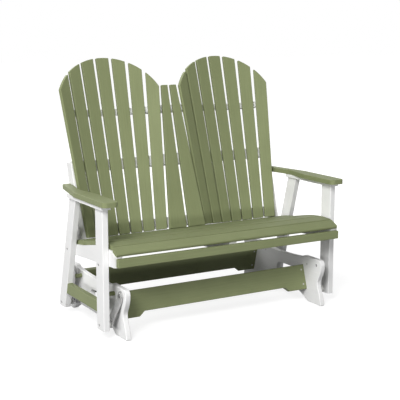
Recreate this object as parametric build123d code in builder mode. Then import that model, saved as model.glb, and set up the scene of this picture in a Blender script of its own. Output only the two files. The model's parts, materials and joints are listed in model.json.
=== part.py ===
from build123d import *
from math import acos, asin, cos, degrees, radians, sin, sqrt, tan
import os

# A two-seat porch glider of plastic lumber, in millimetres.
# X runs across the seat, Y from front to back, Z up from the floor.
# Sizes along Y are given from the front face of the front posts.

# Boards and fits
EDGE_R = 3.0          # eased edge of the frame boards
SLAT_EDGE_R = 2.5     # eased edge of the slats
BUTT_FIT = 0.2        # gap where a board end butts against another board
BRACE_FIT = 0.7       # gap between the braces' hollows and the corners of the flat slats
SLIDE_FIT = 0.3       # gap between faces that slide past each other
HOLE_CLEAR = 0.25     # radial play of a bolt or screw in its hole
RUN_CLEAR = 0.05      # radial play of a pivot bolt in its bush

# Seat frame
SEAT_SLAT_HALF = 595.0
SEAT_END_GAP = 8.0    # between the ends of the seat boards and the posts
POST_THICK = 29.0
POST_FOOT_Z = 42.0
FRONT_POST_DEPTH = 74.0
REAR_POST_DEPTH = 70.0
REAR_POST_FOOT_Y = 446.0
REAR_POST_LEAN = 15.7
ARM_TOP_Z = 629.0
ARM_THICK = 23.0
CLEAT_THICK = 16.0
CLEAT_WIDTH = 48.0
CLEAT_FRONT_Y = -10.0
CLEAT_REAR_OVERHANG = 8.0
SEAT_RAIL_THICK = 38.0
SEAT_RAIL_FRONT_Z = 341.0
SEAT_RAIL_MID_Y = 181.0
SEAT_RAIL_MID_Z = 325.0
SEAT_RAIL_REAR_Y = 447.0
SEAT_RAIL_REAR_Z = 307.0
SIDE_RAIL_THICK = 27.0
SIDE_RAIL_HEIGHT = 52.0
SIDE_RAIL_BOTTOM_Z = 116.0

# Armrest outline
ARM_FRONT_Y = -50.0
ARM_OVERHANG = 16.0
ARM_FRONT_WIDTH = 76.0
ARM_CORNER_R = 22.0
ARM_TAPER_Y = 270.0
ARM_WAIST_Y = 320.0
ARM_WAIST_INSET = 10.0
ARM_SWEEP_Y = 170.0
ARM_REAR_Y = 514.0
ARM_REAR_WIDTH = 36.0

# Seat boards
SEAT_SLAT_THICK = 20.0
NOSE_SLAT_WIDTH = 55.0
NOSE_SLAT_TILT = 25.0
NOSE_SLAT_Y = -71.3
NOSE_SLAT_Z = 405.0
NOSE_R = 9.0
SEAT_SLAT_WIDTH = 70.0
SEAT_SLAT_GAP = 6.0
SEAT_SLAT_Y = -18.0
SEAT_SLAT_Z = 430.0
SEAT_SLAT_TILTS = (2.3, -5.2, -11.0, -12.4, -7.9, -11.9)
APRON_THICK = 24.0
APRON_HEIGHT = 38.5
APRON_TOP_Z = 382.0
APRON_FRONT_Y = -81.0

# Back, measured from the front of the fan's middle slat at BACK_Y, BACK_Z
BACK_Y = 416.0
BACK_Z = 390.0
BACK_LEAN = 15.64
FAN_RADIUS = 610.0    # hollow of the fan, seen along the slats
FAN_SLATS = 7
FAN_EDGE_GAP = 3.2    # from a fan's outer edge at the seat to the upright's inner face
SLAT_THICK = 17.0
SLAT_GAP = 8.0        # between the fan's slats at the seat
GAP_GROWTH = 0.0105   # widening of these gaps per millimetre of height
SLAT_FOOT_V = -16.0
ARCH_TOP_V = 856.5
ARCH_SHOULDER = 36.0  # the arch's radius is this much more than the fan's reach at the fillers' tops
FILLER_FRONT = 51.5
FILLER_GAP = 15.0     # between the two fillers
FILLER_FOOT_WIDTH = 93.5
FILLER_TOP_WIDTH = 33.5
FILLER_FOOT_GAP = 10.2    # between a filler and the fan beside it
FILLER_TOP_GAP = 19.1
FILLER_FOOT_V = -19.0
FILLER_TOP_V = 701.0
BRACE_DEPTH = 30.0    # depth left behind the middle slat of a fan
UPPER_BRACE_V = 574.0
UPPER_BRACE_THICK = 28.0
UPPER_BRACE_INSET = 30.0  # from the fans' outer edges to the brace's ends
MIDDLE_BRACE_V = 305.0
LOWER_BRACE_V = -9.0
BRACE_THICK = 51.0
UPRIGHT_THICK = 29.0
UPRIGHT_DEPTH = 57.0
UPRIGHT_FOOT_V = -62.0

# Base sides, their slot and the stop pegs
BASE_GAP = 57.0       # between the base sides and the posts
BASE_THICK = 25.0
BASE_MID_Y = 305.0
BASE_HALF_LENGTH = 352.0
FOOT_LENGTH = 109.0
FOOT_R = 5.0
FOOT_LEAN = 0.1       # the foot's end leans in this much per millimetre of height
WAIST_INSET = 32.0
WAIST_Z = 115.0
KNOB_R = 26.0
LEG_TOP_Z = 230.0
LEG_TOP_LENGTH = 141.0
RAIL_TOP_Z = 219.0
RAIL_MID_Z = 210.0
RAIL_STEP = 32.0
BELLY_Z = 43.0
BELLY_RISE_LENGTH = 113.0
BELLY_END_SLOPE = 0.5     # slope of the underside where it meets the foot
SLOT_Y = 256.5
SLOT_Z = 125.5
SLOT_LENGTH = 157.0
SLOT_HEIGHT = 51.0
PEG_R = 10.0
PEG_LENGTH = 31.0
PEG_Z = 191.0
FRONT_PEG_Y = 73.0
REAR_PEG_Y = 440.0

# Stretchers between the base sides
STRETCHER_THICK = 25.0
FRONT_STRETCHER_Y = 68.0
FRONT_STRETCHER_Z = 64.0
FRONT_STRETCHER_HEIGHT = 125.0
FRONT_STRETCHER_LEAN = 17.1
REAR_STRETCHER_Y = 553.0
REAR_STRETCHER_Z = 60.0
REAR_STRETCHER_HEIGHT = 134.0
REAR_STRETCHER_LEAN = -15.0
RELIEF_DEPTH = 22.0
RELIEF_TAB = 100.0
RELIEF_SLOPE = 28.0
STRETCHER_CLEAT = 32.0
STRETCHER_CLEAT_LENGTH = 92.0

# Swing links and pivots
LINK_LENGTH = 150.0
LINK_WIDTH = 40.0
LINK_THICK = 6.0
LINK_JOGGLE = 24.0    # the lower end stands this much further out than the upper end
LINK_FLAT = 28.0      # straight end of the strap, from the pivot to the bend
LINK_BEND_R = 10.0
FRONT_PIVOT_Y = -3.0
FRONT_PIVOT_Z = 199.5
REAR_PIVOT_Y = 517.5
REAR_PIVOT_Z = 204.5
FRONT_SEAT_PIVOT_Y = 51.0
REAR_SEAT_PIVOT_Y = 489.0
OPEN_PIVOT_SHIFT = 2.4    # the rear links' lower eyes sit this far forward of the bolts at rest
OPEN_PIVOT_CLEAR = 3.0
BUSH_R = 11.0
WASHER_R = 17.0
WASHER_THICK = 2.5
SPACER_R = 15.0

# Bolts and screws
BOLT_R = 5.0
BOLT_HEAD_R = 7.5
BOLT_HEAD_HEIGHT = 5.0
BOLT_RECESS = 4.0
NUT_R = 9.0
NUT_HEIGHT = 7.0
FRONT_RAIL_BOLT_Y = 51.0
REAR_RAIL_BOLT_Y = 404.0
RAIL_BOLT_Z = 336.5
RAIL_BOLT_GRIP = 30.0
SCREW_R = 2.5
SCREW_HEAD_R = 4.5
SCREW_HEAD_HEIGHT = 3.0
SCREW_LENGTH = 45.0
PEG_SCREW_LENGTH = 40.0
SCREW_END_INSET = 16.0
SCREW_EDGE_INSET = 26.0

# Values that follow from the ones above
POST_INNER_X = SEAT_SLAT_HALF + SEAT_END_GAP
POST_OUTER_X = POST_INNER_X + POST_THICK
POST_MID_X = POST_INNER_X + POST_THICK / 2
POST_TOP_Z = ARM_TOP_Z - ARM_THICK - CLEAT_THICK
SEAT_RAIL_INNER_X = POST_INNER_X - SEAT_RAIL_THICK
SEAT_RAIL_FRONT_Y = APRON_FRONT_Y + APRON_THICK
ARM_OUTER_X = POST_OUTER_X + ARM_OVERHANG
ARM_WAIST_X = POST_INNER_X - ARM_WAIST_INSET
UPRIGHT_INNER_X = SEAT_RAIL_INNER_X - UPRIGHT_THICK
FILLER_FOOT_X = FILLER_GAP / 2 + FILLER_FOOT_WIDTH
FILLER_TOP_X = FILLER_GAP / 2 + FILLER_TOP_WIDTH
FAN_CENTRE_X = (FILLER_FOOT_X + FILLER_FOOT_GAP + UPRIGHT_INNER_X - FAN_EDGE_GAP) / 2
BASE_OUTER_X = POST_INNER_X - BASE_GAP
BASE_INNER_X = BASE_OUTER_X - BASE_THICK
LINK_TOP_X = BASE_OUTER_X + WASHER_THICK + SLIDE_FIT    # inner faces of a strap's two ends
LINK_FOOT_X = LINK_TOP_X + LINK_JOGGLE
SPREAD_HALF = (FAN_SLATS - 1) // 2
LEAN_SIN = sin(radians(BACK_LEAN))
LEAN_COS = cos(radians(BACK_LEAN))
REAR_POST_SLOPE = tan(radians(REAR_POST_LEAN))
FRONT_SEAT_PIVOT_Z = FRONT_PIVOT_Z - sqrt(LINK_LENGTH ** 2 - (FRONT_SEAT_PIVOT_Y - FRONT_PIVOT_Y) ** 2)
REAR_SEAT_PIVOT_Z = REAR_PIVOT_Z - sqrt(LINK_LENGTH ** 2 - (REAR_SEAT_PIVOT_Y - REAR_PIVOT_Y) ** 2)

# The origin lies under the middle of the object, between the apron and the top of the back
ROUNDING = SLAT_EDGE_R * (LEAN_SIN + LEAN_COS - 1)
REAR_REACH = BACK_Y + ARCH_TOP_V * LEAN_SIN + SLAT_THICK * LEAN_COS - ROUNDING
POST_FRONT_Y = -(APRON_FRONT_Y + REAR_REACH) / 2

SIDES = ((-1, "left"), (1, "right"))

os.makedirs("parts", exist_ok=True)


def save(builder, label):
    """Name a finished piece and write it to its own file."""
    builder.part.label = label
    export_step(builder.part, f"parts/{label}.step")


def side_plane(x):
    """Plane across X: local x runs back from the post front, local y runs up."""
    return Plane(origin=(x, POST_FRONT_Y, 0), x_dir=(0, 1, 0), z_dir=(1, 0, 0))


def level_plane(z):
    """Level plane: local x runs along X, local y runs back from the post front."""
    return Plane(origin=(0, POST_FRONT_Y, z))


def rear_post_y(z):
    """Front edge of the leaning rear post at height z."""
    return REAR_POST_FOOT_Y - REAR_POST_SLOPE * (z - POST_FOOT_Z)


# Back geometry


def back_point(x, forward, v):
    """Point at height v along the back and a distance forward of the middle slat's face."""
    y = POST_FRONT_Y + BACK_Y - forward * LEAN_COS + v * LEAN_SIN
    z = BACK_Z + forward * LEAN_SIN + v * LEAN_COS
    return Vector(x, y, z)


def back_section(v):
    """Plane square to the back at height v: local x along X, local y backwards."""
    return Plane(origin=back_point(0, 0, v), x_dir=(1, 0, 0), z_dir=(0, LEAN_SIN, LEAN_COS))


def fan_point(side, s, v):
    """Point on the hollow face of a fan, s outwards from the fan's middle along the curve."""
    turn = s / FAN_RADIUS
    x = side * (FAN_CENTRE_X + FAN_RADIUS * sin(turn))
    return back_point(x, FAN_RADIUS * (1 - cos(turn)), v)


def slat_gap(v):
    """Gap between the fan's slats at height v."""
    return SLAT_GAP + GAP_GROWTH * v


def pitch_to(edge_x, v):
    """Spacing at which a fan's slats reach from its middle to an inner edge at edge_x and height v."""
    reach = FAN_RADIUS * asin((FAN_CENTRE_X - edge_x) / FAN_RADIUS)
    return (2 * reach + slat_gap(v)) / FAN_SLATS


# The fans fill the space beside the tapered fillers, so the slats' spacing follows from it
FOOT_PITCH = pitch_to(FILLER_FOOT_X + FILLER_FOOT_GAP, FILLER_FOOT_V)
TOP_PITCH = pitch_to(FILLER_TOP_X + FILLER_TOP_GAP, FILLER_TOP_V)
SLAT_SPREAD = (TOP_PITCH - FOOT_PITCH) / (FILLER_TOP_V - FILLER_FOOT_V)
SLAT_PITCH = FOOT_PITCH - SLAT_SPREAD * FILLER_FOOT_V


def slat_pitch(v):
    """Spacing of the fan's slats at height v."""
    return SLAT_PITCH + SLAT_SPREAD * v


def fan_reach(v):
    """Distance along the curve from a fan's middle to its edge at height v."""
    return (FAN_SLATS * slat_pitch(v) - slat_gap(v)) / 2


ARCH_RADIUS = fan_reach(FILLER_TOP_V) + ARCH_SHOULDER
UPPER_BRACE_REACH = FAN_RADIUS * sin(fan_reach(UPPER_BRACE_V) / FAN_RADIUS) - UPPER_BRACE_INSET


def arch_v(s):
    """Height of the arched top at s from the fan's middle."""
    return ARCH_TOP_V - ARCH_RADIUS + sqrt(ARCH_RADIUS ** 2 - s ** 2)


def arch_crossing(position, edge):
    """Where one long edge of a slat meets the arch; edge is -0.5 or 0.5."""
    start = (position + edge) * SLAT_PITCH - edge * SLAT_GAP
    growth = (position + edge) * SLAT_SPREAD - edge * GAP_GROWTH
    centre_v = ARCH_TOP_V - ARCH_RADIUS
    a = growth ** 2 + 1
    b = start * growth - centre_v
    c = start ** 2 + centre_v ** 2 - ARCH_RADIUS ** 2
    v = (-b + sqrt(b ** 2 - a * c)) / a
    return start + growth * v, v


def slat_plane(side, position):
    """Front face of one fan slat, with its origin at the middle of the slat's foot."""
    foot = fan_point(side, position * slat_pitch(SLAT_FOOT_V), SLAT_FOOT_V)
    top = fan_point(side, position * slat_pitch(ARCH_TOP_V), ARCH_TOP_V)
    along = (top - foot).normalized()
    middle_v = (SLAT_FOOT_V + ARCH_TOP_V) / 2
    to_axis = back_point(side * FAN_CENTRE_X, FAN_RADIUS, middle_v) - (foot + top) * 0.5
    front = (to_axis - along * to_axis.dot(along)).normalized()
    across = along.cross(front)
    splay = side * position * SLAT_SPREAD
    length = sqrt(1 + splay ** 2)
    x_dir = along * (splay / length) + across * (1 / length)
    return Plane(origin=foot, x_dir=x_dir, z_dir=front)


def brace_front(x):
    """How far a brace's hollow front edge lies behind the middle slat's face at x."""
    reach = brace_radius()
    return sqrt(reach ** 2 - (abs(x) - FAN_CENTRE_X) ** 2) - FAN_RADIUS


def brace_radius():
    """Hollow of the braces, which just clears the back corners of the flat slats."""
    top_v = UPPER_BRACE_V + UPPER_BRACE_THICK
    half_width = (slat_pitch(top_v) - slat_gap(top_v)) / 2
    return sqrt((FAN_RADIUS + SLAT_THICK) ** 2 + half_width ** 2) + BRACE_FIT


# Fan slats and fillers
for side, tag in SIDES:
    for number in range(1, FAN_SLATS + 1):
        position = SPREAD_HALF + 1 - number
        middle_s = position * slat_pitch(SLAT_FOOT_V)
        inner_s, inner_v = arch_crossing(position, -0.5)
        outer_s, outer_v = arch_crossing(position, 0.5)
        foot_half = (slat_pitch(SLAT_FOOT_V) - slat_gap(SLAT_FOOT_V)) / 2
        crown_s = (inner_s + outer_s) / 2
        inner_top = (side * (inner_s - middle_s), inner_v - SLAT_FOOT_V)
        crown = (side * (crown_s - middle_s), arch_v(crown_s) - SLAT_FOOT_V)
        outer_top = (side * (outer_s - middle_s), outer_v - SLAT_FOOT_V)
        with BuildPart() as back_slat:
            with BuildSketch(slat_plane(side, position)):
                with BuildLine():
                    ThreePointArc(inner_top, crown, outer_top)
                    Polyline(outer_top, (side * foot_half, 0), (-side * foot_half, 0), inner_top)
                make_face()
            extrude(amount=-SLAT_THICK)
            fillet(back_slat.edges(), SLAT_EDGE_R)
        save(back_slat, f"back_slat_{tag}_{number}")

    inner_x = side * FILLER_GAP / 2
    filler_height = FILLER_TOP_V - FILLER_FOOT_V
    filler_face = Plane(
        origin=back_point(0, FILLER_FRONT, FILLER_FOOT_V),
        x_dir=(1, 0, 0),
        z_dir=(0, -LEAN_COS, LEAN_SIN),
    )
    with BuildPart() as filler:
        with BuildSketch(filler_face):
            with BuildLine():
                Polyline(
                    (inner_x, 0),
                    (side * FILLER_FOOT_X, 0),
                    (side * FILLER_TOP_X, filler_height),
                    (inner_x, filler_height),
                    close=True,
                )
            make_face()
        extrude(amount=-SLAT_THICK)
        fillet(filler.edges(), SLAT_EDGE_R)
    save(filler, f"filler_slat_{tag}")

# Braces behind the slats, hollowed to both fans
BRACE_REAR = SLAT_THICK + BRACE_DEPTH
FLAT_FRONT = SLAT_THICK - FILLER_FRONT + BUTT_FIT
FLAT_HALF = FAN_CENTRE_X - sqrt(brace_radius() ** 2 - (FAN_RADIUS + FLAT_FRONT) ** 2)
between_uprights = UPRIGHT_INNER_X - BUTT_FIT
brace_sizes = (
    ("upper_brace", UPPER_BRACE_V, UPPER_BRACE_THICK, FAN_CENTRE_X + UPPER_BRACE_REACH),
    ("middle_brace", MIDDLE_BRACE_V, BRACE_THICK, between_uprights),
    ("lower_brace", LOWER_BRACE_V, BRACE_THICK, between_uprights),
)
for label, brace_v, brace_thick, half_length in brace_sizes:
    hollow = brace_front(FAN_CENTRE_X)
    end_front = brace_front(half_length)
    with BuildPart() as brace:
        with BuildSketch(back_section(brace_v)):
            with BuildLine():
                Polyline(
                    (-half_length, end_front),
                    (-half_length, BRACE_REAR),
                    (half_length, BRACE_REAR),
                    (half_length, end_front),
                )
                ThreePointArc((half_length, end_front), (FAN_CENTRE_X, hollow), (FLAT_HALF, FLAT_FRONT))
                Line((FLAT_HALF, FLAT_FRONT), (-FLAT_HALF, FLAT_FRONT))
                ThreePointArc((-FLAT_HALF, FLAT_FRONT), (-FAN_CENTRE_X, hollow), (-half_length, end_front))
            make_face()
        extrude(amount=brace_thick)
        fillet(brace.edges().filter_by(Axis.X).sort_by(SortBy.LENGTH)[-2:], EDGE_R)
    save(brace, label)

# Uprights behind the outer slats, on the inner faces of the seat rails
outer_turn = SPREAD_HALF * slat_pitch(MIDDLE_BRACE_V + BRACE_THICK) / FAN_RADIUS
outer_middle_x = FAN_CENTRE_X + (FAN_RADIUS + SLAT_THICK) * sin(outer_turn)
outer_back = FAN_RADIUS - (FAN_RADIUS + SLAT_THICK) * cos(outer_turn)
upright_front = outer_back + (UPRIGHT_INNER_X - outer_middle_x) * tan(outer_turn) - BUTT_FIT
upright_top_v = MIDDLE_BRACE_V + BRACE_THICK
for side, tag in SIDES:
    upright_plane = Plane(
        origin=back_point(side * UPRIGHT_INNER_X, 0, 0),
        x_dir=(0, LEAN_COS, -LEAN_SIN),
        z_dir=(1, 0, 0),
    )
    with BuildPart() as upright:
        with BuildSketch(upright_plane):
            with Locations((-upright_front, UPRIGHT_FOOT_V)):
                Rectangle(
                    UPRIGHT_DEPTH,
                    upright_top_v - UPRIGHT_FOOT_V,
                    align=(Align.MIN, Align.MIN),
                )
        extrude(amount=side * UPRIGHT_THICK)
        fillet(upright.edges(), EDGE_R)
    save(upright, f"back_upright_{tag}")

# Seat slats: each one starts a gap behind the last, at its own tilt


def slat_frame(start, tilt, width):
    """Top front, top rear, bottom rear and bottom front corners of a tilted slat."""
    run = Vector(cos(radians(tilt)), sin(radians(tilt)))
    down = Vector(run.Y, -run.X) * SEAT_SLAT_THICK
    front = Vector(*start)
    rear = front + run * width
    return front, rear, rear + down, front + down


nose_front, nose_rear, nose_under_rear, nose_under_front = slat_frame(
    (NOSE_SLAT_Y, NOSE_SLAT_Z), NOSE_SLAT_TILT, NOSE_SLAT_WIDTH
)
nose_plumb_rear = Vector(nose_rear.X, nose_rear.Y - SEAT_SLAT_THICK / cos(radians(NOSE_SLAT_TILT)))
nose_slope = tan(radians(NOSE_SLAT_TILT))
nose_on_rail = nose_plumb_rear.Y - (nose_rear.X - SEAT_RAIL_FRONT_Y) * nose_slope

slat_corners = []
start = (SEAT_SLAT_Y, SEAT_SLAT_Z)
for tilt in SEAT_SLAT_TILTS:
    corners = slat_frame(start, tilt, SEAT_SLAT_WIDTH)
    slat_corners.append(corners)
    gap_end = slat_frame(start, tilt, SEAT_SLAT_WIDTH + SEAT_SLAT_GAP)[1]
    start = (gap_end.X, gap_end.Y)

with BuildPart() as nose_slat:
    with BuildSketch(side_plane(0)):
        with BuildLine():
            Polyline(nose_front, nose_rear, nose_plumb_rear, nose_under_front, close=True)
        make_face()
    extrude(amount=SEAT_SLAT_HALF, both=True)
    long_edges = nose_slat.edges().filter_by(Axis.X).sort_by(Axis.Y)
    fillet(long_edges[:2], NOSE_R)
    fillet(nose_slat.edges().filter_by(Axis.X).sort_by(Axis.Z)[-1:], SLAT_EDGE_R)
save(nose_slat, "seat_slat_1")

notch_front_y = BACK_Y - upright_front * LEAN_COS - SEAT_SLAT_THICK
for number, corners in enumerate(slat_corners, start=2):
    with BuildPart() as seat_slat:
        with BuildSketch(side_plane(0)):
            with BuildLine():
                Polyline(*corners, close=True)
            make_face()
        extrude(amount=SEAT_SLAT_HALF, both=True)
        fillet(seat_slat.edges(), SLAT_EDGE_R)
        if corners is slat_corners[-1]:
            with BuildSketch(level_plane(BACK_Z)):
                for side, tag in SIDES:
                    with Locations((side * (UPRIGHT_INNER_X + UPRIGHT_THICK / 2), notch_front_y)):
                        Rectangle(
                            UPRIGHT_THICK + 2 * BUTT_FIT,
                            SEAT_SLAT_WIDTH,
                            align=(Align.CENTER, Align.MIN),
                        )
            extrude(amount=2 * SEAT_SLAT_WIDTH, both=True, mode=Mode.SUBTRACT)
    save(seat_slat, f"seat_slat_{number}")

with BuildPart() as apron:
    with BuildSketch(side_plane(0)):
        with Locations((APRON_FRONT_Y, APRON_TOP_Z)):
            Rectangle(APRON_THICK, APRON_HEIGHT, align=(Align.MIN, Align.MAX))
    extrude(amount=SEAT_SLAT_HALF, both=True)
    fillet(apron.edges(), EDGE_R)
save(apron, "apron")

# Seat rails: the top follows the undersides of the slats
last_under_rear = slat_corners[-1][2]
last_slope = tan(radians(SEAT_SLAT_TILTS[-1]))
rail_top_rear_z = last_under_rear.Y + (SEAT_RAIL_REAR_Y - last_under_rear.X) * last_slope
rail_outline = [(SEAT_RAIL_FRONT_Y, SEAT_RAIL_FRONT_Z), (SEAT_RAIL_FRONT_Y, nose_on_rail), nose_plumb_rear]
for top_front, top_rear, under_rear, under_front in slat_corners:
    rail_outline += [under_front, under_rear]
rail_outline += [
    (SEAT_RAIL_REAR_Y, rail_top_rear_z),
    (SEAT_RAIL_REAR_Y, SEAT_RAIL_REAR_Z),
    (SEAT_RAIL_MID_Y, SEAT_RAIL_MID_Z),
]


def bolt_hole(x_from, x_to, y, z, radius):
    """Cut a round hole along X through the part being built."""
    with BuildSketch(side_plane(x_from)) as outline:
        with Locations((y, z)):
            Circle(radius)
    extrude(outline.sketch, amount=x_to - x_from, mode=Mode.SUBTRACT)


RAIL_BOLT_PLACES = ((FRONT_RAIL_BOLT_Y, RAIL_BOLT_Z), (REAR_RAIL_BOLT_Y, RAIL_BOLT_Z))
SEAT_PIVOTS = (
    (FRONT_SEAT_PIVOT_Y, FRONT_SEAT_PIVOT_Z),
    (REAR_SEAT_PIVOT_Y, REAR_SEAT_PIVOT_Z),
)
RAIL_BOLT_END_X = POST_INNER_X - RAIL_BOLT_GRIP

for side, tag in SIDES:
    with BuildPart() as seat_rail:
        with BuildSketch(side_plane(side * SEAT_RAIL_INNER_X)):
            with BuildLine():
                Polyline(*rail_outline, close=True)
            make_face()
        extrude(amount=side * SEAT_RAIL_THICK)
        for y, z in RAIL_BOLT_PLACES:
            bolt_hole(side * POST_INNER_X, side * RAIL_BOLT_END_X, y, z, BOLT_R + HOLE_CLEAR)
    save(seat_rail, f"seat_rail_{tag}")

with BuildPart() as centre_rail:
    with BuildSketch(side_plane(0)):
        with BuildLine():
            Polyline(*rail_outline, close=True)
        make_face()
    extrude(amount=SEAT_RAIL_THICK / 2, both=True)
save(centre_rail, "seat_rail_centre")

# Posts, with recessed bolts into the seat rails and down at the swing links


def post_holes(side, number):
    """Bolt holes of one post, with the bolt heads' recesses in its outer face."""
    recess_x = POST_OUTER_X - BOLT_RECESS - BOLT_HEAD_HEIGHT
    for y, z in (RAIL_BOLT_PLACES[number], SEAT_PIVOTS[number]):
        bolt_hole(side * POST_INNER_X, side * POST_OUTER_X, y, z, BOLT_R + HOLE_CLEAR)
        bolt_hole(side * recess_x, side * POST_OUTER_X, y, z, BOLT_HEAD_R + HOLE_CLEAR)


for side, tag in SIDES:
    with BuildPart() as front_post:
        with BuildSketch(side_plane(side * POST_INNER_X)):
            with Locations((0, POST_FOOT_Z)):
                Rectangle(FRONT_POST_DEPTH, POST_TOP_Z - POST_FOOT_Z, align=(Align.MIN, Align.MIN))
        extrude(amount=side * POST_THICK)
        fillet(front_post.edges().filter_by(Axis.Z), EDGE_R)
        post_holes(side, 0)
    save(front_post, f"front_post_{tag}")

    with BuildPart() as rear_post:
        with BuildSketch(side_plane(side * POST_INNER_X)):
            with BuildLine():
                Polyline(
                    (rear_post_y(POST_FOOT_Z), POST_FOOT_Z),
                    (rear_post_y(POST_FOOT_Z) + REAR_POST_DEPTH, POST_FOOT_Z),
                    (rear_post_y(POST_TOP_Z) + REAR_POST_DEPTH, POST_TOP_Z),
                    (rear_post_y(POST_TOP_Z), POST_TOP_Z),
                    close=True,
                )
            make_face()
        extrude(amount=side * POST_THICK)
        leaning = Axis((0, 0, 0), (0, -REAR_POST_SLOPE, 1))
        fillet(rear_post.edges().filter_by(leaning), EDGE_R)
        post_holes(side, 1)
    save(rear_post, f"rear_post_{tag}")

    side_rail_top_z = SIDE_RAIL_BOTTOM_Z + SIDE_RAIL_HEIGHT
    side_rail_front_y = FRONT_POST_DEPTH + BUTT_FIT
    with BuildPart() as side_rail:
        with BuildSketch(side_plane(side * POST_INNER_X)):
            with BuildLine():
                Polyline(
                    (side_rail_front_y, SIDE_RAIL_BOTTOM_Z),
                    (rear_post_y(SIDE_RAIL_BOTTOM_Z) - BUTT_FIT, SIDE_RAIL_BOTTOM_Z),
                    (rear_post_y(side_rail_top_z) - BUTT_FIT, side_rail_top_z),
                    (side_rail_front_y, side_rail_top_z),
                    close=True,
                )
            make_face()
        extrude(amount=side * SIDE_RAIL_THICK)
        fillet(side_rail.edges().filter_by(Axis.Y), EDGE_R)
    save(side_rail, f"side_rail_{tag}")

# Armrests on flat cleats that sit on the post tops
cleat_rear_y = rear_post_y(POST_TOP_Z) + REAR_POST_DEPTH + CLEAT_REAR_OVERHANG
with BuildPart() as arm_cleats:
    with BuildSketch(level_plane(POST_TOP_Z)):
        for side, tag in SIDES:
            with Locations((side * POST_MID_X, CLEAT_FRONT_Y)):
                Rectangle(CLEAT_WIDTH, cleat_rear_y - CLEAT_FRONT_Y, align=(Align.CENTER, Align.MIN))
    extrude(amount=CLEAT_THICK)
    fillet(arm_cleats.edges().filter_by(Axis.Z), EDGE_R)
save(arm_cleats, "arm_cleats")

for side, tag in SIDES:
    arm_inner_x = ARM_OUTER_X - ARM_FRONT_WIDTH
    arm_rear_inner_x = SEAT_RAIL_INNER_X + BUTT_FIT
    with BuildPart() as arm:
        with BuildSketch(level_plane(POST_TOP_Z + CLEAT_THICK)):
            with BuildLine():
                Polyline(
                    (side * arm_inner_x, ARM_SWEEP_Y),
                    (side * arm_inner_x, ARM_FRONT_Y),
                    (side * ARM_OUTER_X, ARM_FRONT_Y),
                    (side * ARM_OUTER_X, ARM_TAPER_Y),
                    (side * (arm_rear_inner_x + ARM_REAR_WIDTH), ARM_REAR_Y),
                    (side * arm_rear_inner_x, ARM_REAR_Y),
                )
                Spline(
                    (side * arm_rear_inner_x, ARM_REAR_Y),
                    (side * ARM_WAIST_X, ARM_WAIST_Y),
                    (side * arm_inner_x, ARM_SWEEP_Y),
                    tangents=((0, -1), (0, -1)),
                )
            make_face()
        extrude(amount=ARM_THICK)
        fillet(arm.edges().filter_by(Axis.Z).group_by(Axis.Y)[0], ARM_CORNER_R)
        fillet(arm.edges().group_by(Axis.Z)[-1], EDGE_R)
    save(arm, f"arm_{tag}")

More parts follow.
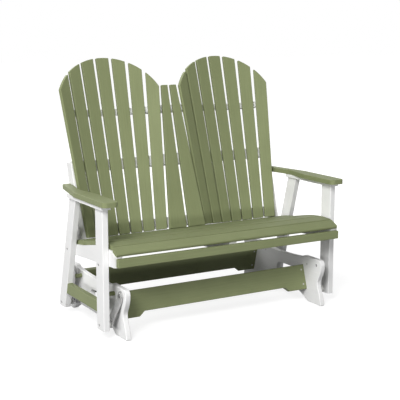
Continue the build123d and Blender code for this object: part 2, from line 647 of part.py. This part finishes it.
# Base sides: one outline, mirrored front to back, with knobs over splayed feet
foot_inner = FOOT_LENGTH - BASE_HALF_LENGTH
waist = WAIST_INSET - BASE_HALF_LENGTH
leg_top_end = LEG_TOP_LENGTH - BASE_HALF_LENGTH
step_end = leg_top_end + RAIL_STEP
rail_dip = RAIL_TOP_Z - RAIL_MID_Z
rail_slope = 2 * rail_dip * -step_end / (step_end ** 2 - rail_dip ** 2)
knob_front = EDGE_R - BASE_HALF_LENGTH
BASE_PIVOTS = ((FRONT_PIVOT_Y, FRONT_PIVOT_Z), (REAR_PIVOT_Y, REAR_PIVOT_Z))
PEG_PLACES = ((FRONT_PEG_Y, PEG_Z), (REAR_PEG_Y, PEG_Z))
for side, tag in SIDES:
    middle_plane = Plane(
        origin=(side * BASE_INNER_X, POST_FRONT_Y + BASE_MID_Y, 0),
        x_dir=(0, 1, 0),
        z_dir=(1, 0, 0),
    )
    with BuildPart() as base_side:
        with BuildSketch(middle_plane) as base_outline:
            with BuildLine():
                Polyline((0, RAIL_MID_Z), (0, BELLY_Z), (foot_inner + BELLY_RISE_LENGTH, BELLY_Z))
                Spline(
                    (foot_inner + BELLY_RISE_LENGTH, BELLY_Z),
                    (foot_inner, 0),
                    tangents=((-1, 0), (-1, -BELLY_END_SLOPE)),
                )
                Line((foot_inner, 0), (-BASE_HALF_LENGTH, 0))
                Spline(
                    (-BASE_HALF_LENGTH, 0),
                    (waist, WAIST_Z),
                    (knob_front, LEG_TOP_Z - KNOB_R),
                    tangents=((FOOT_LEAN, 1), (0, 1)),
                )
                RadiusArc((knob_front, LEG_TOP_Z - KNOB_R), (knob_front + KNOB_R, LEG_TOP_Z), KNOB_R)
                Line((knob_front + KNOB_R, LEG_TOP_Z), (leg_top_end, LEG_TOP_Z))
                Spline(
                    (leg_top_end, LEG_TOP_Z),
                    (step_end, RAIL_TOP_Z),
                    tangents=((1, 0), (1, -rail_slope)),
                )
                TangentArc((0, RAIL_MID_Z), (step_end, RAIL_TOP_Z), tangent=(-1, 0))
            make_face()
            mirror(about=Plane.YZ)
            with Locations((SLOT_Y - BASE_MID_Y, SLOT_Z)):
                SlotOverall(SLOT_LENGTH, SLOT_HEIGHT, mode=Mode.SUBTRACT)
            fillet(base_outline.vertices().group_by(Axis.Y)[0], FOOT_R)
        extrude(amount=side * BASE_THICK)
        fillet(base_side.faces().filter_by(Axis.X).edges(), EDGE_R)
        recess_x = BASE_INNER_X + BOLT_RECESS + BOLT_HEAD_HEIGHT
        for y, z in BASE_PIVOTS:
            bolt_hole(side * BASE_INNER_X, side * BASE_OUTER_X, y, z, BOLT_R + HOLE_CLEAR)
            bolt_hole(side * BASE_INNER_X, side * recess_x, y, z, BOLT_HEAD_R + HOLE_CLEAR)
        screw_recess_x = BASE_INNER_X + SCREW_HEAD_HEIGHT
        for y, z in PEG_PLACES:
            bolt_hole(side * BASE_INNER_X, side * BASE_OUTER_X, y, z, SCREW_R + HOLE_CLEAR)
            bolt_hole(side * BASE_INNER_X, side * screw_recess_x, y, z, SCREW_HEAD_R + HOLE_CLEAR)
    save(base_side, f"base_side_{tag}")

with BuildPart() as stop_pegs:
    for side, tag in SIDES:
        for y, z in PEG_PLACES:
            with BuildSketch(side_plane(side * BASE_OUTER_X)):
                with Locations((y, z)):
                    Circle(PEG_R)
            extrude(amount=side * PEG_LENGTH)
            peg_screw_end_x = BASE_INNER_X + PEG_SCREW_LENGTH
            bolt_hole(side * BASE_OUTER_X, side * peg_screw_end_x, y, z, SCREW_R + HOLE_CLEAR)
save(stop_pegs, "stop_pegs")

# Stretchers between the base sides, screwed to cleats behind their ends


def stretcher_face(y, z, lean):
    """Front face of a stretcher: local x along X, local y up the leaning face."""
    turn = radians(lean)
    return Plane(origin=(0, POST_FRONT_Y + y, z), x_dir=(1, 0, 0), z_dir=(0, -cos(turn), sin(turn)))


STRETCHERS = (
    ("front_stretcher", FRONT_STRETCHER_Y, FRONT_STRETCHER_Z, FRONT_STRETCHER_LEAN, FRONT_STRETCHER_HEIGHT),
    ("rear_stretcher", REAR_STRETCHER_Y, REAR_STRETCHER_Z, REAR_STRETCHER_LEAN, REAR_STRETCHER_HEIGHT),
)
stretcher_half = BASE_INNER_X - BUTT_FIT
relief_half = stretcher_half - RELIEF_TAB
screw_x = stretcher_half - SCREW_END_INSET


def stretcher_screw_places(height):
    """Screw centres on a stretcher's front face, two at each end."""
    places = []
    for side, tag in SIDES:
        for up in (SCREW_EDGE_INSET, height - SCREW_EDGE_INSET):
            places.append((side * screw_x, up))
    return places


for label, y, z, lean, height in STRETCHERS:
    with BuildPart() as stretcher:
        with BuildSketch(stretcher_face(y, z, lean)):
            with BuildLine():
                Polyline(
                    (-stretcher_half, height),
                    (-stretcher_half, 0),
                    (-relief_half, 0),
                    (-relief_half + RELIEF_SLOPE, RELIEF_DEPTH),
                    (relief_half - RELIEF_SLOPE, RELIEF_DEPTH),
                    (relief_half, 0),
                    (stretcher_half, 0),
                    (stretcher_half, height),
                    close=True,
                )
            make_face()
        extrude(amount=-STRETCHER_THICK)
        fillet(stretcher.edges().filter_by(Axis.X), EDGE_R)
        for radius, depth in ((SCREW_R, STRETCHER_THICK), (SCREW_HEAD_R, SCREW_HEAD_HEIGHT)):
            with BuildSketch(stretcher_face(y, z, lean)):
                with Locations(*stretcher_screw_places(height)):
                    Circle(radius + HOLE_CLEAR)
            extrude(amount=-depth, mode=Mode.SUBTRACT)
    save(stretcher, label)

with BuildPart() as stretcher_cleats:
    for label, y, z, lean, height in STRETCHERS:
        back_face = stretcher_face(y, z, lean).offset(-STRETCHER_THICK)
        with BuildSketch(back_face):
            for side, tag in SIDES:
                with Locations((side * (stretcher_half - STRETCHER_CLEAT / 2), height / 2)):
                    Rectangle(STRETCHER_CLEAT, STRETCHER_CLEAT_LENGTH)
        extrude(amount=-STRETCHER_CLEAT)
        with BuildSketch(back_face):
            with Locations(*stretcher_screw_places(height)):
                Circle(SCREW_R + HOLE_CLEAR)
        extrude(amount=STRETCHER_THICK - SCREW_LENGTH, mode=Mode.SUBTRACT)
save(stretcher_cleats, "stretcher_cleats")

with BuildPart() as base_screws:
    for label, y, z, lean, height in STRETCHERS:
        for radius, depth in ((SCREW_R, SCREW_LENGTH), (SCREW_HEAD_R, SCREW_HEAD_HEIGHT)):
            with BuildSketch(stretcher_face(y, z, lean)):
                with Locations(*stretcher_screw_places(height)):
                    Circle(radius)
            extrude(amount=-depth)
    for side, tag in SIDES:
        for radius, depth in ((SCREW_R, PEG_SCREW_LENGTH), (SCREW_HEAD_R, SCREW_HEAD_HEIGHT)):
            with BuildSketch(side_plane(side * BASE_INNER_X)):
                with Locations(*PEG_PLACES):
                    Circle(radius)
            extrude(amount=side * depth)
save(base_screws, "base_screws")

# Swing links: joggled steel straps with a bush in each eye; the rear ones' lower eyes are opened wider
LINKS = (("front", BASE_PIVOTS[0], SEAT_PIVOTS[0]), ("rear", BASE_PIVOTS[1], SEAT_PIVOTS[1]))


def lower_eye(name, seat_pivot):
    """Centre and bore of a link's lower eye."""
    y, z = seat_pivot
    if name == "rear":
        return (y - OPEN_PIVOT_SHIFT, z), BOLT_R + OPEN_PIVOT_CLEAR
    return (y, z), BOLT_R + RUN_CLEAR


def strap_plane(side, base_pivot, seat_pivot):
    """Lengthwise plane of a strap: local x runs down the strap, local y outwards."""
    run = ((seat_pivot[0] - base_pivot[0]) / LINK_LENGTH, (seat_pivot[1] - base_pivot[1]) / LINK_LENGTH)
    return Plane(
        origin=(side * LINK_TOP_X, POST_FRONT_Y + base_pivot[0], base_pivot[1]),
        x_dir=(0, run[0], run[1]),
        z_dir=(0, side * run[1], -side * run[0]),
    )


strap_line = (
    (-LINK_WIDTH, 0),
    (LINK_FLAT, 0),
    (LINK_LENGTH - LINK_FLAT, LINK_JOGGLE),
    (LINK_LENGTH + LINK_WIDTH, LINK_JOGGLE),
)
strap_outline = [*strap_line, *((x, y + LINK_THICK) for x, y in reversed(strap_line))]
for side, tag in SIDES:
    for name, base_pivot, seat_pivot in LINKS:
        eye, bore = lower_eye(name, seat_pivot)
        middle = ((base_pivot[0] + seat_pivot[0]) / 2, (base_pivot[1] + seat_pivot[1]) / 2)
        lean = degrees(acos((base_pivot[1] - seat_pivot[1]) / LINK_LENGTH))
        turn = 90 + lean if seat_pivot[0] > base_pivot[0] else 90 - lean
        with BuildPart() as link:
            with BuildSketch(strap_plane(side, base_pivot, seat_pivot)) as strap:
                with BuildLine():
                    Polyline(*strap_outline, close=True)
                make_face()
                bends = strap.vertices().sort_by(Axis.X)[2:-2]
                fillet(bends, LINK_BEND_R)
            extrude(amount=LINK_WIDTH, both=True)
            with BuildSketch(side_plane(side * LINK_TOP_X)):
                with Locations(middle):
                    SlotCenterToCenter(LINK_LENGTH, LINK_WIDTH, rotation=turn)
            extrude(amount=side * (LINK_JOGGLE + LINK_THICK), mode=Mode.INTERSECT)
            bolt_hole(side * LINK_TOP_X, side * (LINK_TOP_X + LINK_THICK), *base_pivot, BUSH_R)
            bolt_hole(side * LINK_FOOT_X, side * (LINK_FOOT_X + LINK_THICK), *eye, BUSH_R)
        save(link, f"link_{name}_{tag}")

        eyes = ((LINK_TOP_X, base_pivot, BOLT_R + RUN_CLEAR), (LINK_FOOT_X, eye, bore))
        with BuildPart() as bushes:
            for start_x, place, inner in eyes:
                with BuildSketch(side_plane(side * start_x)):
                    with Locations(place):
                        Circle(BUSH_R)
                        Circle(inner, mode=Mode.SUBTRACT)
                extrude(amount=side * LINK_THICK)
        save(bushes, f"bushes_{name}_{tag}")

# Bolts, nuts, washers and spacers


def round_bar(x_from, x_to, place, radius):
    """Add a round bar along X to the part being built."""
    with BuildSketch(side_plane(x_from)) as outline:
        with Locations(place):
            Circle(radius)
    extrude(outline.sketch, amount=x_to - x_from)


def ring(x_from, x_to, place, outer, inner):
    """Add a ring along X to the part being built."""
    with BuildSketch(side_plane(x_from)) as outline:
        with Locations(place):
            Circle(outer)
            Circle(inner, mode=Mode.SUBTRACT)
    extrude(outline.sketch, amount=x_to - x_from)


def nut(x_from, x_to, place):
    """Add a hexagon nut along X to the part being built."""
    with BuildSketch(side_plane(x_from)) as outline:
        with Locations(place):
            RegularPolygon(NUT_R, 6)
            Circle(BOLT_R + HOLE_CLEAR, mode=Mode.SUBTRACT)
    extrude(outline.sketch, amount=x_to - x_from)


post_head_x = POST_OUTER_X - BOLT_RECESS
post_shank_x = post_head_x - BOLT_HEAD_HEIGHT
lower_nut_x = LINK_FOOT_X - SLIDE_FIT - NUT_HEIGHT
with BuildPart() as post_bolts:
    for side, tag in SIDES:
        for place in RAIL_BOLT_PLACES:
            round_bar(side * RAIL_BOLT_END_X, side * post_shank_x, place, BOLT_R)
            round_bar(side * post_shank_x, side * post_head_x, place, BOLT_HEAD_R)
        for place in SEAT_PIVOTS:
            round_bar(side * lower_nut_x, side * post_shank_x, place, BOLT_R)
            round_bar(side * post_shank_x, side * post_head_x, place, BOLT_HEAD_R)
            nut(side * lower_nut_x, side * (lower_nut_x + NUT_HEIGHT), place)
save(post_bolts, "post_bolts")

with BuildPart() as pivot_spacers:
    for side, tag in SIDES:
        for place in SEAT_PIVOTS:
            spacer_x = LINK_FOOT_X + LINK_THICK + SLIDE_FIT
            ring(side * spacer_x, side * POST_INNER_X, place, SPACER_R, BOLT_R + HOLE_CLEAR)
save(pivot_spacers, "pivot_spacers")

base_head_x = BASE_INNER_X + BOLT_RECESS
base_shank_x = base_head_x + BOLT_HEAD_HEIGHT
upper_nut_x = LINK_TOP_X + LINK_THICK + SLIDE_FIT
upper_nut_end_x = upper_nut_x + NUT_HEIGHT
with BuildPart() as base_bolts:
    for side, tag in SIDES:
        for place in BASE_PIVOTS:
            round_bar(side * base_head_x, side * base_shank_x, place, BOLT_HEAD_R)
            round_bar(side * base_shank_x, side * upper_nut_end_x, place, BOLT_R)
            nut(side * upper_nut_x, side * upper_nut_end_x, place)
save(base_bolts, "base_bolts")

with BuildPart() as pivot_washers:
    for side, tag in SIDES:
        for place in BASE_PIVOTS:
            washer_end_x = BASE_OUTER_X + WASHER_THICK
            ring(side * BASE_OUTER_X, side * washer_end_x, place, WASHER_R, BOLT_R + HOLE_CLEAR)
save(pivot_washers, "pivot_washers")
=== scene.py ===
"""Looks of the double glider: plastic lumber boards in sage green and white, steel straps and bolts."""

import json
import math

import bpy
import numpy as np
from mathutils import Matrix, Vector

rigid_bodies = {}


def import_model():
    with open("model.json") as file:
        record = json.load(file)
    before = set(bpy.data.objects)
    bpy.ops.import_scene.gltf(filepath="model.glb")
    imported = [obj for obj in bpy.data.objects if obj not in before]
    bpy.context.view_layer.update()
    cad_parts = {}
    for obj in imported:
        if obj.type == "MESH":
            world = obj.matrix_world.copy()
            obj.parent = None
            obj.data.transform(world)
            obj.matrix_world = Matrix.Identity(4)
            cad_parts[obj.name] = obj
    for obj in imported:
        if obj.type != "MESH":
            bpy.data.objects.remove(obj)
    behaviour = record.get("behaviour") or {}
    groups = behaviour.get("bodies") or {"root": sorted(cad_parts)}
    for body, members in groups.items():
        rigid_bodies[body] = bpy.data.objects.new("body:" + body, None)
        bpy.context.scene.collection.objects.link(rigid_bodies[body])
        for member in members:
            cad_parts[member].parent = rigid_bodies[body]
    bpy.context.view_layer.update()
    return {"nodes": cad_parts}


# Camera at the photograph's angle: place in metres, angles in degrees, lens and sensor in millimetres
CAMERA_AT = (-2.3253, -4.0275, 1.3748)
CAMERA_YAW = 30.28
CAMERA_PITCH = 10.28
CAMERA_LENS = 87.0
CAMERA_SENSOR = 36.0

# Light: a weak soft world, one large key lamp far off at the front left, low lamps in front and at the sides,
# and one behind; each lamp has a name, a place and a size in metres, and a power in watts
WORLD_LIGHT = 0.08
LIGHT_AIM = (0.0, 0.0, 0.6)
LAMPS = (
    ("key", (-5.58, -4.68, 5.89), (3.6, 3.6), 845.0),
    ("front_low", (0.0, -7.0, 0.48), (3.0, 0.6), 135.0),
    ("left_low", (-6.89, -1.21, 0.84), (2.0, 1.0), 125.0),
    ("right_low", (6.51, 2.37, 1.57), (2.0, 1.0), 140.0),
    ("back", (0.0, 4.24, 4.84), (3.0, 3.0), 190.0),
)

# Floor: it throws little light back, and the camera sees it as white with a soft shadow near the object
FLOOR_SIZE = 60.0
FLOOR_BOUNCE = (0.12, 0.12, 0.12)
FLOOR_SEEN = (0.30, 0.30, 0.30)
GLOW_NEAR = (0.80, 0.80, 0.80)
GLOW_FAR = (1.0, 1.0, 1.0)
GLOW_REACH = 2.2        # metres from the middle of the object to where the floor is fully white
GLOW_RAMP = (0.0, 0.5)  # nearness at which the far and the near glow hold, 1 being the middle

# Colours, linear: the dark and the light tone of each finish
GREEN = ((0.179, 0.203, 0.098), (0.214, 0.242, 0.121))
WHITE = ((0.765, 0.765, 0.760), (0.815, 0.815, 0.810))
STRAP = ((0.400, 0.400, 0.395), (0.520, 0.520, 0.515))
BRIGHT_STEEL = ((0.450, 0.450, 0.440), (0.640, 0.640, 0.630))
# Base bolts: a mid grey that is partly the steel's own tone and partly painted shade of the recessed heads
GREY_STEEL_AND_PAINTED_SHADE = ((0.150, 0.150, 0.148), (0.240, 0.240, 0.236))
# Post bolt heads: steel darkened to nearly black, which paints the shade of their recesses into their colour
STEEL_PAINTED_RECESS_SHADE = ((0.035, 0.035, 0.035), (0.075, 0.075, 0.074))
NYLON = ((0.700, 0.700, 0.670), (0.780, 0.780, 0.755))

# Small hard parts: material, tones, speckle scale, roughness, metallic, the record's slot, and the starts of
# the names of the nodes that have it
HARD_FINISHES = (
    ("strap_steel", STRAP, 160.0, 0.52, 0.5, "steel", ("link",)),
    ("bright_steel", BRIGHT_STEEL, 400.0, 0.36, 0.9, "steel", ("base_screws",)),
    # base bolts: the grey is partly steel and partly painted shade of the head recesses
    ("grey_steel_and_painted_shade", GREY_STEEL_AND_PAINTED_SHADE, 400.0, 0.45, 0.6, "steel", ("base_bolts",)),
    # post bolts: the near-black tone is painted shade of the bolt recesses
    ("steel_painted_recess_shade", STEEL_PAINTED_RECESS_SHADE, 400.0, 0.55, 0.4, "steel", ("post_bolts",)),
    ("nylon", NYLON, 120.0, 0.45, 0.0, "nylon", ("bushes", "pivot_spacers", "pivot_washers")),
)
SPECKLE_DETAIL = 3.0
SPECKLE_RAMP = (0.35, 0.65)
SPECKLE_GLOSS = (-0.05, 0.08)   # change of roughness at the dark and at the light speckles

# Starts of the names of the green boards; the boards that aren't green are white
GREEN_BOARDS = (
    "apron",
    "arm_left",
    "arm_right",
    "back_slat",
    "filler_slat",
    "front_stretcher",
    "rear_stretcher",
    "seat_slat",
    "side_rail",
    "stop_pegs",
)

# Boards: embossed streaks along their length, cloudy tones and pores; scales per metre, depths in metres
GRAIN_ALONG = 6.0
GRAIN_ACROSS = 260.0
GRAIN_DETAIL = 4.0
GRAIN_CONTRAST = 0.6
GRAIN_DEPTH = 0.0004
CLOUD_SCALE = 9.0
CLOUD_SHARE = 0.4       # of the clouds in the tone, added to the streaks
PORE_SCALE = 900.0
PORE_DEPTH = 0.00008
SOFT_DETAIL = 2.0
PLAIN_CONTRAST = 0.5
TONE_RAMP = (0.45, 0.95)
BOARD_ROUGHNESS = (0.48, 0.62)
BOARD_SPECULAR = 0.22

# A noise texture's values lie mostly between these two
NOISE_DARK = 0.3
NOISE_LIGHT = 0.7


def new_material(name):
    material = bpy.data.materials.new(name)
    material.use_nodes = True
    return material, material.node_tree.nodes, material.node_tree.links


def noise(nodes, scale, detail, contrast):
    texture = nodes.new("ShaderNodeTexNoise")
    texture.inputs["Scale"].default_value = scale
    texture.inputs["Detail"].default_value = detail
    texture.inputs["Roughness"].default_value = contrast
    return texture


def ramp_between(nodes, dark, light, low, high):
    """A colour ramp from the dark tone at low to the light tone at high."""
    ramp = nodes.new("ShaderNodeValToRGB")
    ramp.color_ramp.elements[0].position = low
    ramp.color_ramp.elements[0].color = (*dark, 1.0)
    ramp.color_ramp.elements[1].position = high
    ramp.color_ramp.elements[1].color = (*light, 1.0)
    return ramp


def range_between(nodes, low, high):
    """A number that goes from low to high as its input goes from a texture's dark to its light parts."""
    spread = nodes.new("ShaderNodeMapRange")
    spread.inputs["From Min"].default_value = NOISE_DARK
    spread.inputs["From Max"].default_value = NOISE_LIGHT
    spread.inputs["To Min"].default_value = low
    spread.inputs["To Max"].default_value = high
    return spread


def bump_over(nodes, links, height, depth, below=None):
    """A bump of one texture, over another bump if there is one."""
    bump = nodes.new("ShaderNodeBump")
    bump.inputs["Distance"].default_value = depth
    links.new(height, bump.inputs["Height"])
    if below:
        links.new(below.outputs["Normal"], bump.inputs["Normal"])
    return bump


def board_material(name, tones, turn):
    """Plastic lumber with embossed streaks along one direction; turn brings that direction to the X axis."""
    material, nodes, links = new_material(name)
    shader = nodes["Principled BSDF"]
    shader.inputs["Specular IOR Level"].default_value = BOARD_SPECULAR
    place = nodes.new("ShaderNodeTexCoord")
    turned = nodes.new("ShaderNodeMapping")
    turned.inputs["Rotation"].default_value = turn
    stretched = nodes.new("ShaderNodeMapping")
    stretched.inputs["Scale"].default_value = (GRAIN_ALONG, GRAIN_ACROSS, GRAIN_ACROSS)
    streaks = noise(nodes, 1.0, GRAIN_DETAIL, GRAIN_CONTRAST)
    clouds = noise(nodes, CLOUD_SCALE, SOFT_DETAIL, PLAIN_CONTRAST)
    pores = noise(nodes, PORE_SCALE, SOFT_DETAIL, PLAIN_CONTRAST)
    blend = nodes.new("ShaderNodeMath")
    blend.operation = "MULTIPLY_ADD"
    blend.inputs[1].default_value = CLOUD_SHARE
    tone = ramp_between(nodes, *tones, *TONE_RAMP)
    gloss = range_between(nodes, *BOARD_ROUGHNESS)
    fine = bump_over(nodes, links, pores.outputs["Fac"], PORE_DEPTH)
    grain = bump_over(nodes, links, streaks.outputs["Fac"], GRAIN_DEPTH, fine)
    links.new(place.outputs["Object"], turned.inputs["Vector"])
    links.new(turned.outputs["Vector"], stretched.inputs["Vector"])
    links.new(stretched.outputs["Vector"], streaks.inputs["Vector"])
    links.new(place.outputs["Object"], clouds.inputs["Vector"])
    links.new(place.outputs["Object"], pores.inputs["Vector"])
    links.new(clouds.outputs["Fac"], blend.inputs[0])
    links.new(streaks.outputs["Fac"], blend.inputs[2])
    links.new(blend.outputs["Value"], tone.inputs["Fac"])
    links.new(streaks.outputs["Fac"], gloss.inputs["Value"])
    links.new(tone.outputs["Color"], shader.inputs["Base Color"])
    links.new(gloss.outputs["Result"], shader.inputs["Roughness"])
    links.new(grain.outputs["Normal"], shader.inputs["Normal"])
    return material


def speckled_material(name, tones, scale, roughness, metallic):
    """Small hard parts: a fine mottled tone, a little duller where it is lighter."""
    material, nodes, links = new_material(name)
    shader = nodes["Principled BSDF"]
    shader.inputs["Metallic"].default_value = metallic
    place = nodes.new("ShaderNodeTexCoord")
    mottle = noise(nodes, scale, SPECKLE_DETAIL, PLAIN_CONTRAST)
    tone = ramp_between(nodes, *tones, *SPECKLE_RAMP)
    gloss = range_between(nodes, *(roughness + change for change in SPECKLE_GLOSS))
    links.new(place.outputs["Object"], mottle.inputs["Vector"])
    links.new(mottle.outputs["Fac"], tone.inputs["Fac"])
    links.new(mottle.outputs["Fac"], gloss.inputs["Value"])
    links.new(tone.outputs["Color"], shader.inputs["Base Color"])
    links.new(gloss.outputs["Result"], shader.inputs["Roughness"])
    return material


def length_turn(node):
    """Rotation that brings a board's longest direction to the X axis."""
    points = np.array([vertex.co for vertex in node.data.vertices], float)
    spread = np.cov((points - points.mean(0)).T)
    along = Vector(np.linalg.eigh(spread)[1][:, -1])
    return along.rotation_difference(Vector((1, 0, 0))).to_euler()


def give(node, material):
    """The node shows this material in each of its slots."""
    if not node.material_slots:
        raise ValueError(node.name + " has no material slot")
    for slot in node.material_slots:
        slot.link = "OBJECT"
        slot.material = material


def dress(nodes):
    """Materials for all CAD nodes; each board has its own so that the streaks follow its length."""
    boards = dict(nodes)
    for material_name, *look, record_slot, starts in HARD_FINISHES:
        material = speckled_material(material_name, *look)
        for name in nodes:
            if name.startswith(starts):
                give(boards.pop(name), material)
    for name, node in boards.items():
        if name.startswith(GREEN_BOARDS):
            give(node, board_material("green_" + name, GREEN, length_turn(node)))
        else:
            give(node, board_material("white_" + name, WHITE, length_turn(node)))


def seen_directly(nodes, links):
    """1 for camera, glossy and transmission rays, 0 for the others."""
    path = nodes.new("ShaderNodeLightPath")
    seen = path.outputs["Is Camera Ray"]
    for kind in ("Is Glossy Ray", "Is Transmission Ray"):
        either = nodes.new("ShaderNodeMath")
        either.operation = "MAXIMUM"
        links.new(seen, either.inputs[0])
        links.new(path.outputs[kind], either.inputs[1])
        seen = either.outputs["Value"]
    return seen


def lay_floor():
    """Pale floor that keeps the shadow; its glow is white far out and weaker near the object."""
    bpy.ops.mesh.primitive_plane_add(size=FLOOR_SIZE, location=(0, 0, 0))
    floor = bpy.context.object
    floor.name = "floor"
    material, nodes, links = new_material("floor")
    nodes.remove(nodes["Principled BSDF"])
    bounce = nodes.new("ShaderNodeBsdfDiffuse")
    bounce.inputs["Color"].default_value = (*FLOOR_BOUNCE, 1.0)
    shaded = nodes.new("ShaderNodeBsdfDiffuse")
    shaded.inputs["Color"].default_value = (*FLOOR_SEEN, 1.0)
    glow = nodes.new("ShaderNodeEmission")
    place = nodes.new("ShaderNodeTexCoord")
    scaled = nodes.new("ShaderNodeMapping")
    scaled.inputs["Scale"].default_value = (1 / GLOW_REACH, 1 / GLOW_REACH, 1.0)
    nearness = nodes.new("ShaderNodeTexGradient")
    nearness.gradient_type = "SPHERICAL"
    tone = ramp_between(nodes, GLOW_FAR, GLOW_NEAR, *GLOW_RAMP)
    seen = nodes.new("ShaderNodeAddShader")
    mix = nodes.new("ShaderNodeMixShader")
    links.new(place.outputs["Object"], scaled.inputs["Vector"])
    links.new(scaled.outputs["Vector"], nearness.inputs["Vector"])
    links.new(nearness.outputs["Fac"], tone.inputs["Fac"])
    links.new(tone.outputs["Color"], glow.inputs["Color"])
    links.new(shaded.outputs["BSDF"], seen.inputs[0])
    links.new(glow.outputs["Emission"], seen.inputs[1])
    links.new(seen_directly(nodes, links), mix.inputs["Fac"])
    links.new(bounce.outputs["BSDF"], mix.inputs[1])
    links.new(seen.outputs["Shader"], mix.inputs[2])
    links.new(mix.outputs["Shader"], nodes["Material Output"].inputs["Surface"])
    floor.data.materials.append(material)


def light_world():
    """Soft even light from all round; the camera sees plain white behind the object."""
    world = bpy.data.worlds.new("studio")
    bpy.context.scene.world = world
    world.use_nodes = True
    nodes, links = world.node_tree.nodes, world.node_tree.links
    soft = nodes["Background"]
    soft.inputs["Color"].default_value = (1.0, 1.0, 1.0, 1.0)
    soft.inputs["Strength"].default_value = WORLD_LIGHT
    white = nodes.new("ShaderNodeBackground")
    white.inputs["Color"].default_value = (1.0, 1.0, 1.0, 1.0)
    white.inputs["Strength"].default_value = 1.0
    mix = nodes.new("ShaderNodeMixShader")
    links.new(seen_directly(nodes, links), mix.inputs["Fac"])
    links.new(soft.outputs["Background"], mix.inputs[1])
    links.new(white.outputs["Background"], mix.inputs[2])
    links.new(mix.outputs["Shader"], nodes["World Output"].inputs["Surface"])


def hang_lamp(name, at, size, power):
    """A soft rectangular lamp that faces the object."""
    lamp = bpy.data.lights.new(name, "AREA")
    lamp.shape = "RECTANGLE"
    lamp.size, lamp.size_y = size
    lamp.energy = power
    holder = bpy.data.objects.new(name, lamp)
    holder.location = at
    holder.rotation_euler = (Vector(LIGHT_AIM) - Vector(at)).to_track_quat("-Z", "Y").to_euler()
    bpy.context.scene.collection.objects.link(holder)


def place_camera():
    data = bpy.data.cameras.new("camera")
    data.lens = CAMERA_LENS
    data.sensor_width = CAMERA_SENSOR
    camera = bpy.data.objects.new("camera", data)
    camera.location = CAMERA_AT
    camera.rotation_euler = (math.radians(90 - CAMERA_PITCH), 0.0, math.radians(-CAMERA_YAW))
    bpy.context.scene.collection.objects.link(camera)
    bpy.context.scene.camera = camera


for thing in list(bpy.data.objects):
    bpy.data.objects.remove(thing)
bpy.context.scene.view_settings.view_transform = "Standard"

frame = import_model()
dress(frame["nodes"])
lay_floor()
light_world()
for lamp in LAMPS:
    hang_lamp(*lamp)
place_camera()
